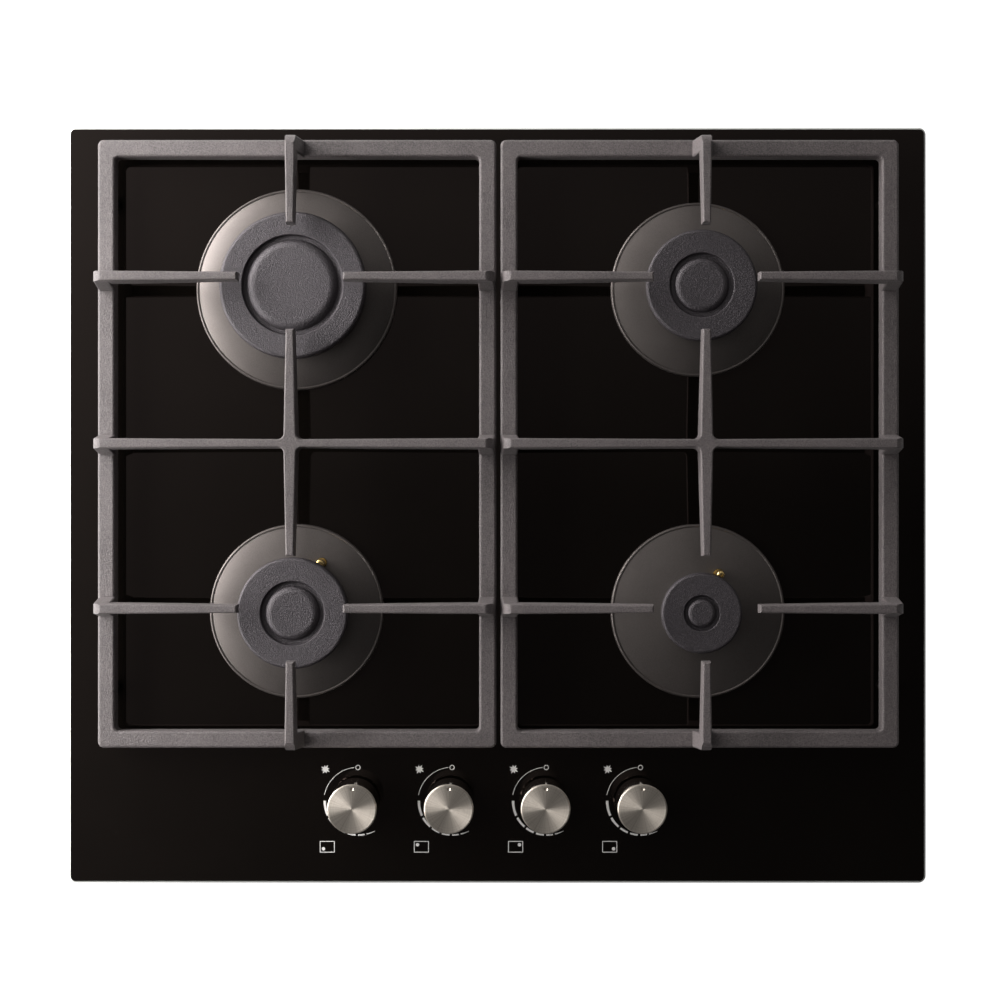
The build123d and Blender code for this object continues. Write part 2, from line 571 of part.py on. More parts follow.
with BuildPart() as tap_bodies:
    for kx in KNOB_X:
        ky = KNOB_Y
        with BuildSketch(flat(kx, ky, TAP_Z0)):
            RectangleRounded(2 * TAP_HALF, 2 * TAP_HALF, 3.0)
        extrude(amount=TAP_Z1 - TAP_Z0)
        # outlet boss, magnet boss and inlet spigot
        with BuildSketch(Plane(origin=(kx, ky + TAP_HALF - 1, PIPE_Z), z_dir=(0, 1, 0))):
            Circle(6.5)
        extrude(amount=9.0)
        with BuildSketch(Plane(origin=(kx, ky - TAP_HALF + 1, PIPE_Z), z_dir=(0, -1, 0))):
            Circle(3.5)
        extrude(amount=4.5)
        # seat for the plug, then the spring chamber
        with BuildSketch(radial(kx, ky)):
            with BuildLine():
                zb = PLUG_Z0 - 0.4
                Polyline(
                    (0, zb), (PLUG_R0 + FIT + PLUG_TAPER * (zb - PLUG_Z0), zb),
                    (PLUG_R0 + FIT + PLUG_TAPER * (30.0 - PLUG_Z0), 30.0), (7.2, 30.0), (7.2, TAP_Z1 + 1), (0, TAP_Z1 + 1), close=True)
            make_face()
        revolve(axis=upright(kx, ky), mode=Mode.SUBTRACT)
        # gas ways and pipe socket
        with BuildSketch(Plane(origin=(kx, ky - 16.0, PIPE_Z), z_dir=(0, 1, 0))):
            Circle(2.4)
        extrude(amount=31.0, mode=Mode.SUBTRACT)
        with BuildSketch(Plane(origin=(kx, ky + 13.0, PIPE_Z), z_dir=(0, 1, 0))):
            Circle(PIPE_R + FIT)
        extrude(amount=8.0, mode=Mode.SUBTRACT)
        # cover screws
        with BuildSketch(flat(kx, ky, 30.0)):
            with Locations((8.1, 8.1), (-8.1, -8.1)):
                Circle(1.5)
        extrude(amount=10.0, mode=Mode.SUBTRACT)
save(tap_bodies, "tap_bodies")

with BuildPart() as tap_covers:
    for kx in KNOB_X:
        with BuildSketch(flat(kx, KNOB_Y, TAP_Z1)):
            RectangleRounded(2 * TAP_HALF, 2 * TAP_HALF, 3.0)
            Circle(SPINDLE_R + FIT, mode=Mode.SUBTRACT)
            with Locations((8.1, 8.1), (-8.1, -8.1)):
                Circle(1.6, mode=Mode.SUBTRACT)
        extrude(amount=3.0)
save(tap_covers, "tap_covers")

with BuildPart() as magnet_units:
    for kx in KNOB_X:
        face = Plane(origin=(kx - TAP_HALF, KNOB_Y, PIPE_Z), z_dir=(-1, 0, 0))
        with BuildSketch(face):
            RegularPolygon(8.0, 6)
        extrude(amount=6.0)
        with BuildSketch(face.offset(6.0)):
            Circle(6.5)
        extrude(amount=14.0)
        with BuildSketch(face.offset(20.0)):
            Circle(4.0)
            Circle(1.05, mode=Mode.SUBTRACT)
        extrude(amount=6.0)
save(magnet_units, "magnet_units")

# microswitches that start the spark, one beside each tap cover
with BuildPart() as ignition_switches:
    for kx in KNOB_X:
        with BuildSketch(flat(kx + TAP_HALF + 5.5, KNOB_Y, 26.0)):
            RectangleRounded(10.8, 20.0, 1.0)
        extrude(amount=12.0)
        with BuildSketch(flat(kx + TAP_HALF + 5.5, KNOB_Y, 20.5)):
            with GridLocations(1, 6.5, 1, 3):
                Rectangle(0.8, 3.2)
        extrude(amount=5.5)
save(ignition_switches, "ignition_switches")

# seals round the spindles, in the holes of the glass
with BuildPart() as knob_seals:
    for kx in KNOB_X:
        with BuildSketch(radial(kx, KNOB_Y)):
            with BuildLine():
                Polyline(
                    (4.4, UNDER - 1.5), (9.0, UNDER - 1.5), (9.0, UNDER), (6.9, UNDER), (6.9, G), (9.5, G), (9.3, G + 0.5),
                    (6.6, G + 0.9), (4.4, G + 0.9), close=True)
            make_face()
        revolve(axis=upright(kx, KNOB_Y))
save(knob_seals, "knob_seals")

# ------------------------------------------------------------ gas pipework
with BuildPart() as gas_rail:
    with BuildLine() as route:
        FilletPolyline(
            (-122.0, RAIL_Y, PIPE_Z), (INLET_X, RAIL_Y, PIPE_Z), (INLET_X, 118.0, PIPE_Z), (INLET_X, 152.0, 36.0),
            (INLET_X, INLET_Y - 5.5, 36.0), radius=22.0)
    with BuildSketch(Plane(origin=route.line @ 0, z_dir=route.line % 0)):
        Circle(RAIL_R)
        Circle(RAIL_R - RAIL_WALL, mode=Mode.SUBTRACT)
    sweep(path=route.line)
    with BuildSketch(Plane(origin=(-122.0, RAIL_Y, PIPE_Z), z_dir=(1, 0, 0))):
        Circle(RAIL_R)
    extrude(amount=3.0)
    for kx in KNOB_X:
        with BuildSketch(Plane(origin=(kx, RAIL_Y, PIPE_Z), z_dir=(0, 1, 0))):
            Circle(3.5 + FIT)
        extrude(amount=9.0, mode=Mode.SUBTRACT)
save(gas_rail, "gas_rail")

with BuildPart() as inlet_elbow:
    # threaded stub, pointing down through the raised corner of the tray
    with BuildSketch(radial(INLET_X, INLET_Y)):
        with BuildLine():
            Polyline(
                (7.5, 4.0), (INLET_R - 1.0, 4.0), (INLET_R, 5.0), (INLET_R, 23.0), (INLET_R - 1.2, 23.6),
                (INLET_R - 1.2, 25.0), (INLET_R + 2.5, 25.0), (INLET_R + 2.5, 28.5), (7.5, 28.5), close=True)
        make_face()
    revolve(axis=upright(INLET_X, INLET_Y))
    with BuildSketch(flat(INLET_X, INLET_Y, 28.5)):
        RectangleRounded(22.0, 22.0, 3.0)
    extrude(amount=17.0)
    with BuildSketch(Plane(origin=(INLET_X, INLET_Y - 13.2, 36.0), z_dir=(0, 1, 0))):
        Circle(9.0)
    extrude(amount=4.0)
    with BuildSketch(flat(INLET_X, INLET_Y, 28.0)):
        Circle(5.5)
    extrude(amount=8.0, mode=Mode.SUBTRACT)
    with BuildSketch(Plane(origin=(INLET_X, INLET_Y - 13.2, 36.0), z_dir=(0, 1, 0))):
        Circle(RAIL_R + FIT)
    extrude(amount=7.7, mode=Mode.SUBTRACT)
    with BuildSketch(Plane(origin=(INLET_X, INLET_Y - 6.0, 36.0), z_dir=(0, 1, 0))):
        Circle(5.0)
    extrude(amount=7.0, mode=Mode.SUBTRACT)
save(inlet_elbow, "inlet_elbow")

PIPE_ROUTES = {}
for kx, name in zip(KNOB_X, KNOB_NAMES):
    b = BURNERS[name]
    y0, y1 = KNOB_Y + TAP_HALF + 3.0, b["y"] - 17.0
    turn = (-155.0, -112.0) if name.startswith("front") else (62.0, 100.0)
    PIPE_ROUTES[name] = [(kx, y0), (kx, turn[0]), (b["x"], turn[1]), (b["x"], y1)]
    with BuildPart() as pipe:
        with BuildLine() as route:
            FilletPolyline(*[(px, py, PIPE_Z) for px, py in PIPE_ROUTES[name]], radius=16.0)
        with BuildSketch(Plane(origin=route.line @ 0, z_dir=route.line % 0)):
            Circle(PIPE_R)
            Circle(PIPE_R - 1.0, mode=Mode.SUBTRACT)
        sweep(path=route.line)
    save(pipe, f"gas_pipe_{name}")

with BuildPart() as pipe_nuts:
    for kx, name in zip(KNOB_X, KNOB_NAMES):
        b = BURNERS[name]
        for x, y, way in ((kx, KNOB_Y + TAP_HALF + 8.0, 1), (b["x"], b["y"] - 22.0, -1)):
            with BuildSketch(Plane(origin=(x, y, PIPE_Z), z_dir=(0, way, 0))):
                RegularPolygon(6.9, 6)
                Circle(PIPE_R + FIT, mode=Mode.SUBTRACT)
            extrude(amount=8.0)
    # union nut of the rail at the inlet elbow
    with BuildSketch(Plane(origin=(INLET_X, INLET_Y - 13.2, 36.0), z_dir=(0, -1, 0))):
        RegularPolygon(10.8, 6)
        Circle(RAIL_R + FIT, mode=Mode.SUBTRACT)
    extrude(amount=9.0)
save(pipe_nuts, "pipe_nuts")

# --------------------------------------------------------------- electrics
with BuildPart() as cable_gland:
    with BuildSketch(radial(GLAND_X, GLAND_Y)):
        with BuildLine():
            Polyline(
                (GLAND_BORE, 6.0), (5.5, 6.0), (8.4, 10.5), (8.4, 17.0), (8.0, 17.0), (8.0, 30.0), (GLAND_BORE, 30.0), close=True)
        make_face()
    revolve(axis=upright(GLAND_X, GLAND_Y))
    for z, h in ((17.0, 7.0), (25.0, 4.5)):
        with BuildSketch(flat(GLAND_X, GLAND_Y, z)):
            RegularPolygon(11.0, 6)
            Circle(6.0, mode=Mode.SUBTRACT)
        extrude(amount=h)
save(cable_gland, "cable_gland")

TERM_X, TERM_Y = 146.0, 214.0
with BuildPart() as terminal_block:
    with BuildSketch(flat(TERM_X, TERM_Y, SHEET)):
        RectangleRounded(40.0, 22.0, 1.5)
    extrude(amount=17.0)
    with BuildSketch(flat(TERM_X, TERM_Y, SHEET + 17.0)):
        with GridLocations(12.0, 11.0, 3, 2):
            Circle(2.6)
    extrude(amount=-9.0, mode=Mode.SUBTRACT)
save(terminal_block, "terminal_block")

# ------------------------------------------------------------------- screws
with BuildPart() as screws:
    # countersunk, through each dish into its cup
    for b in BURNERS.values():
        for x, y in b["screws"]:
            with BuildSketch(radial(x, y)):
                with BuildLine():
                    Polyline(
                        (0, 50.0), (1.9, 50.0), (1.9, DISH_TOP - 2.2), (3.9, DISH_TOP - 0.2), (1.4, DISH_TOP - 0.2),
                        (1.4, DISH_TOP - 1.4), (0, DISH_TOP - 1.4), close=True)
                make_face()
            revolve(axis=upright(x, y))
    # pan heads on the tap covers
    for kx in KNOB_X:
        for d in (8.1, -8.1):
            with BuildSketch(radial(kx + d, KNOB_Y + d)):
                with BuildLine():
                    Polyline((0, 32.0), (1.45, 32.0), (1.45, TAP_Z1 + 3), (2.7, TAP_Z1 + 3), (2.7, TAP_Z1 + 4.2), (2.0, TAP_Z1 + 4.9), (0, TAP_Z1 + 4.9), close=True)
                make_face()
            revolve(axis=upright(kx + d, KNOB_Y + d))
    # pan heads in the spark generator's ears
    for d in (-1, 1):
        x, y = GEN_X + d * (GEN_W + 16.0) / 2, GEN_Y
        with BuildSketch(radial(x, y)):
            with BuildLine():
                Polyline((0, SHEET), (1.9, SHEET), (1.9, SHEET + 2.5), (3.4, SHEET + 2.5), (3.4, SHEET + 4.0), (2.6, SHEET + 4.9), (0, SHEET + 4.9), close=True)
            make_face()
        revolve(axis=upright(x, y))
save(screws, "screws")

print("done", len(os.listdir("parts")), "nodes")
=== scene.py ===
import math

import bmesh
import bpy
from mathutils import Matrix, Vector


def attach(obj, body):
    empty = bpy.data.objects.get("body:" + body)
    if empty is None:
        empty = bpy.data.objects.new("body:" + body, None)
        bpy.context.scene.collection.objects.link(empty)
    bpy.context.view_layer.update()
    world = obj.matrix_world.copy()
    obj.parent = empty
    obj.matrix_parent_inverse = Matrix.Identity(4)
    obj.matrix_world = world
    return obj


# Looks of a four-burner gas-on-glass cooktop.  Metres, +X right, +Y rear, +Z up.
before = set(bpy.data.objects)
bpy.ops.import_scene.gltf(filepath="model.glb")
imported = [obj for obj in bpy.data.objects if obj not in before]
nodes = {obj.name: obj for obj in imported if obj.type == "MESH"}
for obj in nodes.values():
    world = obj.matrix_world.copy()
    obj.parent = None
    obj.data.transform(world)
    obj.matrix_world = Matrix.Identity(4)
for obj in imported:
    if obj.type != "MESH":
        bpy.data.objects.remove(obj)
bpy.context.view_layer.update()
scene = bpy.context.scene
MM = 0.001
GLASS_TOP = 0.054

# ------------------------------------------------------------------- camera
# straight overhead, one metre above the glass; the small shift is the offset
# of the optical axis from the middle of the picture
camera = bpy.data.objects.new("camera", bpy.data.cameras.new("camera"))
scene.collection.objects.link(camera)
camera.location = (0.00256, -0.00332, GLASS_TOP + 1.0)
camera.data.sensor_width = 36.0
camera.data.lens = 52.35
camera.data.shift_x = -0.001
camera.data.shift_y = 0.010
camera.data.clip_start = 0.05
camera.data.clip_end = 30.0
scene.camera = camera

# ---------------------------------------------------------------- materials
SOCKET = {
    "color": "Base Color", "metal": "Metallic", "rough": "Roughness", "ior": "IOR", "specular": "Specular IOR Level",
    "aniso": "Anisotropic", "aniso_turn": "Anisotropic Rotation", "coat": "Coat Weight", "coat_rough": "Coat Roughness",
    "tint": "Specular Tint", "sheen": "Sheen Weight", "sheen_rough": "Sheen Roughness", "subsurface": "Subsurface Weight",
}


class Finish:
    """A procedural surface: one Principled shader, and short calls that add texture nodes to it."""

    def __init__(self, name, **constants):
        self.material = bpy.data.materials.new(name)
        self.material.use_nodes = True
        self.tree = self.material.node_tree
        self.tree.nodes.clear()
        output = self.add("ShaderNodeOutputMaterial")
        self.shader = self.add("ShaderNodeBsdfPrincipled")
        self.tree.links.new(self.shader.outputs[0], output.inputs["Surface"])
        for key, value in constants.items():
            self.shader.inputs[SOCKET[key]].default_value = value
        self.coords = self.add("ShaderNodeTexCoord")
        self.place = self.coords.outputs["Object"]

    def add(self, kind, **settings):
        node = self.tree.nodes.new(kind)
        for key, value in settings.items():
            setattr(node, key, value)
        return node

    def feed(self, socket, value):
        if isinstance(value, bpy.types.NodeSocket):
            self.tree.links.new(value, socket)
        else:
            socket.default_value = value

    def noise(self, scale, detail=2.0, rough=0.5, distortion=0.0, place=None, dimensions="3D"):
        node = self.add("ShaderNodeTexNoise", noise_dimensions=dimensions)
        node.inputs["Scale"].default_value = scale
        node.inputs["Detail"].default_value = detail
        node.inputs["Roughness"].default_value = rough
        node.inputs["Distortion"].default_value = distortion
        if dimensions == "1D":
            self.feed(node.inputs["W"], place)
        else:
            self.feed(node.inputs["Vector"], place or self.place)
        return node.outputs[0]

    def cells(self, scale, feature="F1", out="Distance", place=None, randomness=1.0):
        node = self.add("ShaderNodeTexVoronoi", feature=feature)
        node.inputs["Scale"].default_value = scale
        node.inputs["Randomness"].default_value = randomness
        self.feed(node.inputs["Vector"], place or self.place)
        return node.outputs[out]

    def calc(self, operation, a, b=0.0, c=0.0):
        node = self.add("ShaderNodeMath", operation=operation)
        for socket, value in zip(node.inputs, (a, b, c)):
            self.feed(socket, value)
        return node.outputs[0]

    def vector(self, operation, a, b=(0.0, 0.0, 0.0), out="Vector"):
        node = self.add("ShaderNodeVectorMath", operation=operation)
        self.feed(node.inputs[0], a)
        self.feed(node.inputs[1], b)
        return node.outputs[out]

    def stretch(self, factors, place=None):
        return self.vector("MULTIPLY", place or self.place, factors)

    def split(self, value):
        node = self.add("ShaderNodeSeparateXYZ")
        self.feed(node.inputs[0], value)
        return node.outputs

    def span(self, value, low, high, to_low=0.0, to_high=1.0, smooth=False):
        node = self.add("ShaderNodeMapRange", interpolation_type="SMOOTHSTEP" if smooth else "LINEAR")
        for socket, v in zip(node.inputs, (value, low, high, to_low, to_high)):
            self.feed(socket, v)
        return node.outputs[0]

    def blend(self, factor, a, b):
        node = self.add("ShaderNodeMix", data_type="RGBA")
        for socket, v in zip((node.inputs[0], node.inputs[6], node.inputs[7]), (factor, a, b)):
            if not isinstance(v, bpy.types.NodeSocket) and socket.type == "RGBA":
                v = (*v, 1.0)
            self.feed(socket, v)
        return node.outputs[2]

    def mix(self, factor, a, b):
        node = self.add("ShaderNodeMix", data_type="FLOAT")
        for socket, v in zip(node.inputs[:1] + node.inputs[2:4], (factor, a, b)):
            self.feed(socket, v)
        return node.outputs[0]

    def bump(self, height, distance, strength=1.0, under=None):
        node = self.add("ShaderNodeBump")
        node.inputs["Strength"].default_value = strength
        node.inputs["Distance"].default_value = distance
        self.feed(node.inputs["Height"], height)
        if under is not None:
            self.feed(node.inputs["Normal"], under)
        return node.outputs[0]

    def set(self, **values):
        for key, value in values.items():
            name = {"normal": "Normal", "tangent": "Tangent"}.get(key) or SOCKET[key]
            self.feed(self.shader.inputs[name], value)
        return self.material


def black_glass():
    f = Finish("black_glass", ior=1.52, tint=(1.0, 0.80, 0.76, 1.0))
    nz = f.split(f.add("ShaderNodeNewGeometry").outputs["True Normal"])[2]
    ground = f.span(f.calc("ABSOLUTE", nz), 0.85, 0.93, 1.0, 0.0)
    # ground edge: frosted, with fine stone marks
    marks = f.noise(2600.0, 3.0, 0.7)
    drift = f.noise(18.0, 3.0)
    edge_color = f.blend(marks, (0.50, 0.53, 0.51), (0.78, 0.80, 0.78))
    # face: near black with a brown cast, a faint film of handling marks
    face_color = f.blend(drift, (0.0022, 0.0018, 0.0014), (0.0040, 0.0032, 0.0026))
    film = f.noise(7.0, 5.0, 0.65, 1.2)
    face_rough = f.span(film, 0.35, 0.75, 0.025, 0.075)
    specks = f.span(f.noise(420.0, 1.0), 0.80, 0.86)
    color = f.blend(ground, f.blend(f.calc("MULTIPLY", specks, 0.02), face_color, (0.3, 0.29, 0.27)), edge_color)
    rough = f.mix(ground, face_rough, f.span(marks, 0.3, 0.7, 0.42, 0.62))
    normal = f.bump(f.calc("MULTIPLY", marks, ground), 0.00004)
    return f.set(color=color, rough=rough, normal=normal)


def enamelled_iron():
    f = Finish("enamelled_iron", specular=0.5, sheen=0.06, sheen_rough=0.5)
    grain = f.noise(1250.0, 2.5, 0.62)
    fine = f.noise(3000.0, 2.0, 0.6)
    drift = f.noise(34.0, 3.0, 0.6)
    tone = f.calc("ADD", f.calc("MULTIPLY", grain, 0.80), f.calc("MULTIPLY", drift, 0.20))
    color = f.blend(f.span(tone, 0.34, 0.66), (0.070, 0.061, 0.062), (0.196, 0.168, 0.170))
    pits = f.span(f.cells(760.0), 0.02, 0.20, 0.25, 1.0)
    color = f.blend(pits, (0.060, 0.055, 0.055), color)
    rough = f.span(fine, 0.3, 0.7, 0.38, 0.56)
    height = f.calc("ADD", grain, f.calc("MULTIPLY", fine, 0.35))
    normal = f.bump(height, 0.00046, 1.0)
    return f.set(color=color, rough=rough, normal=normal)


def cap_enamel():
    f = Finish("cap_enamel", specular=0.7, tint=(1.0, 0.93, 0.98, 1.0))
    grain = f.noise(1150.0, 3.0, 0.65)
    fine = f.noise(3400.0, 2.0, 0.6)
    drift = f.noise(26.0, 3.0)
    color = f.blend(f.span(drift, 0.3, 0.7), (0.021, 0.0185, 0.0215), (0.029, 0.0255, 0.029))
    color = f.blend(f.span(grain, 0.46, 0.66), color, (0.064, 0.056, 0.062))
    rough = f.span(grain, 0.3, 0.7, 0.36, 0.5)
    normal = f.bump(f.calc("ADD", grain, f.calc("MULTIPLY", fine, 0.35)), 0.00046, 1.0)
    return f.set(color=color, rough=rough, normal=normal)


def dish_satin():
    f = Finish("dish_satin", metal=0.88)
    grain = f.noise(2300.0, 2.0, 0.6)
    drift = f.noise(30.0, 4.0, 0.6)
    color = f.blend(f.span(drift, 0.3, 0.7), (0.119, 0.105, 0.100), (0.152, 0.135, 0.129))
    color = f.blend(f.span(grain, 0.35, 0.65), color, (0.180, 0.160, 0.153))
    rough = f.span(f.calc("ADD", f.calc("MULTIPLY", grain, 0.6), f.calc("MULTIPLY", drift, 0.4)), 0.35, 0.65, 0.41, 0.50)
    normal = f.bump(grain, 0.00003, 0.8)
    return f.set(color=color, rough=rough, normal=normal)


def cast_aluminium():
    f = Finish("cast_aluminium", metal=1.0)
    sand = f.noise(1500.0, 3.0, 0.65)
    flow = f.noise(55.0, 4.0, 0.6, 1.5)
    color = f.blend(flow, (0.45, 0.45, 0.445), (0.66, 0.66, 0.65))
    rough = f.span(sand, 0.3, 0.7, 0.42, 0.62)
    return f.set(color=color, rough=rough, normal=f.bump(sand, 0.00008, 0.9))


def pipe_aluminium():
    f = Finish("pipe_aluminium", metal=1.0)
    streak = f.noise(600.0, 3.0, 0.6, place=f.stretch((1.0, 0.05, 1.0)))
    cloud = f.noise(60.0, 3.0)
    color = f.blend(cloud, (0.60, 0.60, 0.60), (0.76, 0.76, 0.755))
    rough = f.span(streak, 0.3, 0.7, 0.26, 0.4)
    return f.set(color=color, rough=rough, normal=f.bump(streak, 0.00002, 0.7))


def spun_steel():
    f = Finish("spun_steel", metal=0.78, aniso=0.98, aniso_turn=0.25)
    tangent = f.add("ShaderNodeTangent", direction_type="RADIAL", axis="Z")
    local = f.vector("SUBTRACT", f.coords.outputs["Generated"], (0.5, 0.5, 0.5))
    flat_place = f.vector("MULTIPLY", local, (1.0, 1.0, 0.0))
    radius = f.vector("LENGTH", flat_place, out="Value")
    nz = f.split(f.add("ShaderNodeNewGeometry").outputs["True Normal"])[2]
    top = f.span(nz, 0.93, 0.985)
    across = f.split(local)
    turn = f.calc("ARCTAN2", across[1], across[0])
    # painted reflection: random radial sectors by angle around the knob's centre
    painted_rays = f.noise(9.0, 4.0, 0.75, dimensions="1D", place=turn)
    rings = f.noise(150.0, 3.0, 0.7, dimensions="1D", place=radius)
    coarse = f.noise(36.0, 2.0, 0.6, dimensions="1D", place=radius)
    cloud = f.noise(90.0, 3.0)
    color = f.blend(cloud, (0.86, 0.78, 0.69), (0.95, 0.87, 0.78))
    color = f.blend(f.calc("MULTIPLY", f.span(coarse, 0.45, 0.8), 0.25), color, (0.58, 0.50, 0.42))
    side_rough = f.mix(f.span(nz, 0.3, 0.5), f.span(cloud, 0.3, 0.7, 0.035, 0.07), f.span(cloud, 0.3, 0.7, 0.46, 0.56))
    rough = f.mix(top, side_rough, f.span(rings, 0.3, 0.7, 0.38, 0.47))
    # painted reflection: the top is coloured darker in random radial sectors, standing in for the dark sectors of the
    # spun top's reflection
    color = f.blend(f.calc("MULTIPLY", f.span(painted_rays, 0.42, 0.68), f.calc("MULTIPLY", top, 0.42)), color, (0.50, 0.42, 0.35))
    f.set(metal=f.mix(top, 1.0, 0.96))
    normal = f.bump(f.calc("MULTIPLY", rings, top), 0.000015, 0.6)
    return f.set(color=color, rough=rough, normal=normal, tangent=tangent.outputs[0])


def plain_steel():
    f = Finish("plain_steel", metal=1.0)
    turned = f.noise(1400.0, 2.0, 0.6, place=f.stretch((0.15, 0.15, 1.0)))
    cloud = f.noise(110.0, 3.0)
    color = f.blend(cloud, (0.52, 0.52, 0.53), (0.68, 0.68, 0.68))
    rough = f.span(turned, 0.3, 0.7, 0.22, 0.38)
    return f.set(color=color, rough=rough, normal=f.bump(turned, 0.00002, 0.7))


def zinc_sheet():
    f = Finish("zinc_sheet", metal=1.0)
    crystal = f.split(f.cells(95.0, out="Color"))[0]
    feather = f.noise(420.0, 4.0, 0.7, place=f.vector("ADD", f.stretch((1.0, 1.0, 0.3)), f.cells(95.0, out="Color")))
    color = f.blend(crystal, (0.50, 0.515, 0.53), (0.66, 0.67, 0.68))
    rough = f.span(f.calc("ADD", f.calc("MULTIPLY", crystal, 0.5), f.calc("MULTIPLY", feather, 0.5)), 0.25, 0.75, 0.28, 0.5)
    return f.set(color=color, rough=rough, normal=f.bump(feather, 0.00002, 0.6))


def brass():
    f = Finish("brass", metal=1.0)
    turned = f.noise(1800.0, 2.0, 0.6, place=f.stretch((0.2, 0.2, 1.0)))
    tarnish = f.noise(75.0, 4.0, 0.6)
    color = f.blend(f.span(tarnish, 0.35, 0.7), (0.80, 0.60, 0.29), (0.60, 0.42, 0.19))
    rough = f.span(turned, 0.3, 0.7, 0.2, 0.34)
    return f.set(color=color, rough=rough, normal=f.bump(turned, 0.00002, 0.7))


def probe_brass():
    f = Finish("probe_brass", metal=1.0)
    z = f.split(f.place)[2]
    tip = f.span(z, 0.0492, 0.0498)
    turned = f.noise(2200.0, 2.0, 0.6, place=f.stretch((0.2, 0.2, 1.0)))
    wear = f.noise(240.0, 3.0)
    bright = f.blend(wear, (0.95, 0.72, 0.33), (0.84, 0.58, 0.22))
    copper = f.blend(wear, (0.62, 0.30, 0.17), (0.80, 0.44, 0.27))
    rough = f.span(turned, 0.3, 0.7, 0.14, 0.24)
    return f.set(color=f.blend(tip, copper, bright), rough=rough, normal=f.bump(turned, 0.000012, 0.6))


def ceramic():
    f = Finish("ceramic", coat=0.4, coat_rough=0.08, subsurface=0.05)
    body = f.noise(160.0, 3.0)
    dots = f.span(f.noise(1900.0, 1.0), 0.74, 0.82)
    color = f.blend(body, (0.70, 0.68, 0.62), (0.82, 0.80, 0.75))
    color = f.blend(f.calc("MULTIPLY", dots, 0.5), color, (0.30, 0.26, 0.21))
    return f.set(color=color, rough=f.span(body, 0.3, 0.7, 0.25, 0.4), normal=f.bump(f.noise(300.0), 0.00003, 0.5))


def black_rubber():
    f = Finish("black_rubber", specular=0.35)
    skin = f.noise(1600.0, 3.0, 0.6)
    bloom = f.noise(60.0, 4.0, 0.6)
    color = f.blend(f.span(bloom, 0.4, 0.75), (0.016, 0.016, 0.0165), (0.045, 0.044, 0.043))
    return f.set(color=color, rough=f.span(skin, 0.3, 0.7, 0.62, 0.86), normal=f.bump(skin, 0.00005, 0.8))


def foam():
    f = Finish("foam", specular=0.2)
    pores = f.cells(1500.0)
    cloud = f.noise(70.0, 3.0)
    # painted shade: the pore hollows are coloured near black, darker than the foam around them
    color = f.blend(f.span(pores, 0.1, 0.6), (0.010, 0.010, 0.010), f.blend(cloud, (0.035, 0.035, 0.036), (0.060, 0.060, 0.060)))
    return f.set(color=color, rough=f.span(pores, 0.0, 0.7, 0.95, 0.8), normal=f.bump(pores, 0.0002, 0.9))


def black_plastic():
    f = Finish("black_plastic", specular=0.45)
    spark = f.noise(1900.0, 2.0, 0.55)
    flow = f.noise(40.0, 3.0, 0.6, 0.8)
    color = f.blend(flow, (0.018, 0.018, 0.019), (0.034, 0.034, 0.036))
    return f.set(color=color, rough=f.span(spark, 0.3, 0.7, 0.42, 0.6), normal=f.bump(spark, 0.00005, 0.8))


def lead_sleeve():
    f = Finish("lead_sleeve", specular=0.35, sheen=0.2, sheen_rough=0.4)
    weave = f.cells(1700.0, randomness=0.3)
    age = f.noise(90.0, 3.0)
    color = f.blend(age, (0.62, 0.60, 0.54), (0.76, 0.74, 0.69))
    color = f.blend(f.span(weave, 0.25, 0.6), color, (0.42, 0.40, 0.35))
    return f.set(color=color, rough=f.span(weave, 0.1, 0.6, 0.5, 0.7), normal=f.bump(weave, 0.0001, 0.8))


def printed_ink():
    f = Finish("printed_ink", specular=0.4)
    screen = f.noise(3200.0, 2.0, 0.6)
    cloud = f.noise(220.0, 3.0)
    color = f.blend(f.span(screen, 0.35, 0.7), (0.86, 0.85, 0.84), f.blend(cloud, (0.92, 0.91, 0.90), (0.98, 0.97, 0.96)))
    return f.set(color=color, rough=f.span(screen, 0.3, 0.7, 0.4, 0.6), normal=f.bump(screen, 0.00001, 0.5))


finishes = {
    make.__name__: make()
    for make in (
        black_glass, enamelled_iron, cap_enamel, dish_satin, cast_aluminium, pipe_aluminium, spun_steel, plain_steel,
        zinc_sheet, brass, probe_brass, ceramic, black_rubber, foam, black_plastic, lead_sleeve, printed_ink)
}
for node in nodes.values():
    for slot in node.material_slots:
        slot.material = finishes[slot.material.name.split(".")[0]]


# ------------------------------------------------------- dials on the glass
KNOB_X = (-97.1, -32.4, 32.4, 97.1)
KNOB_NAMES = ("front_left", "rear_left", "rear_right", "front_right")
DIAL_Y = -203.7
DIAL_R = 23.3
INK = 0.03                      # thickness of the print, mm
DOTS = {"front_left": (-2.65, -1.4), "rear_left": (-2.65, 1.4), "rear_right": (2.65, 1.4), "front_right": (2.65, -1.4)}


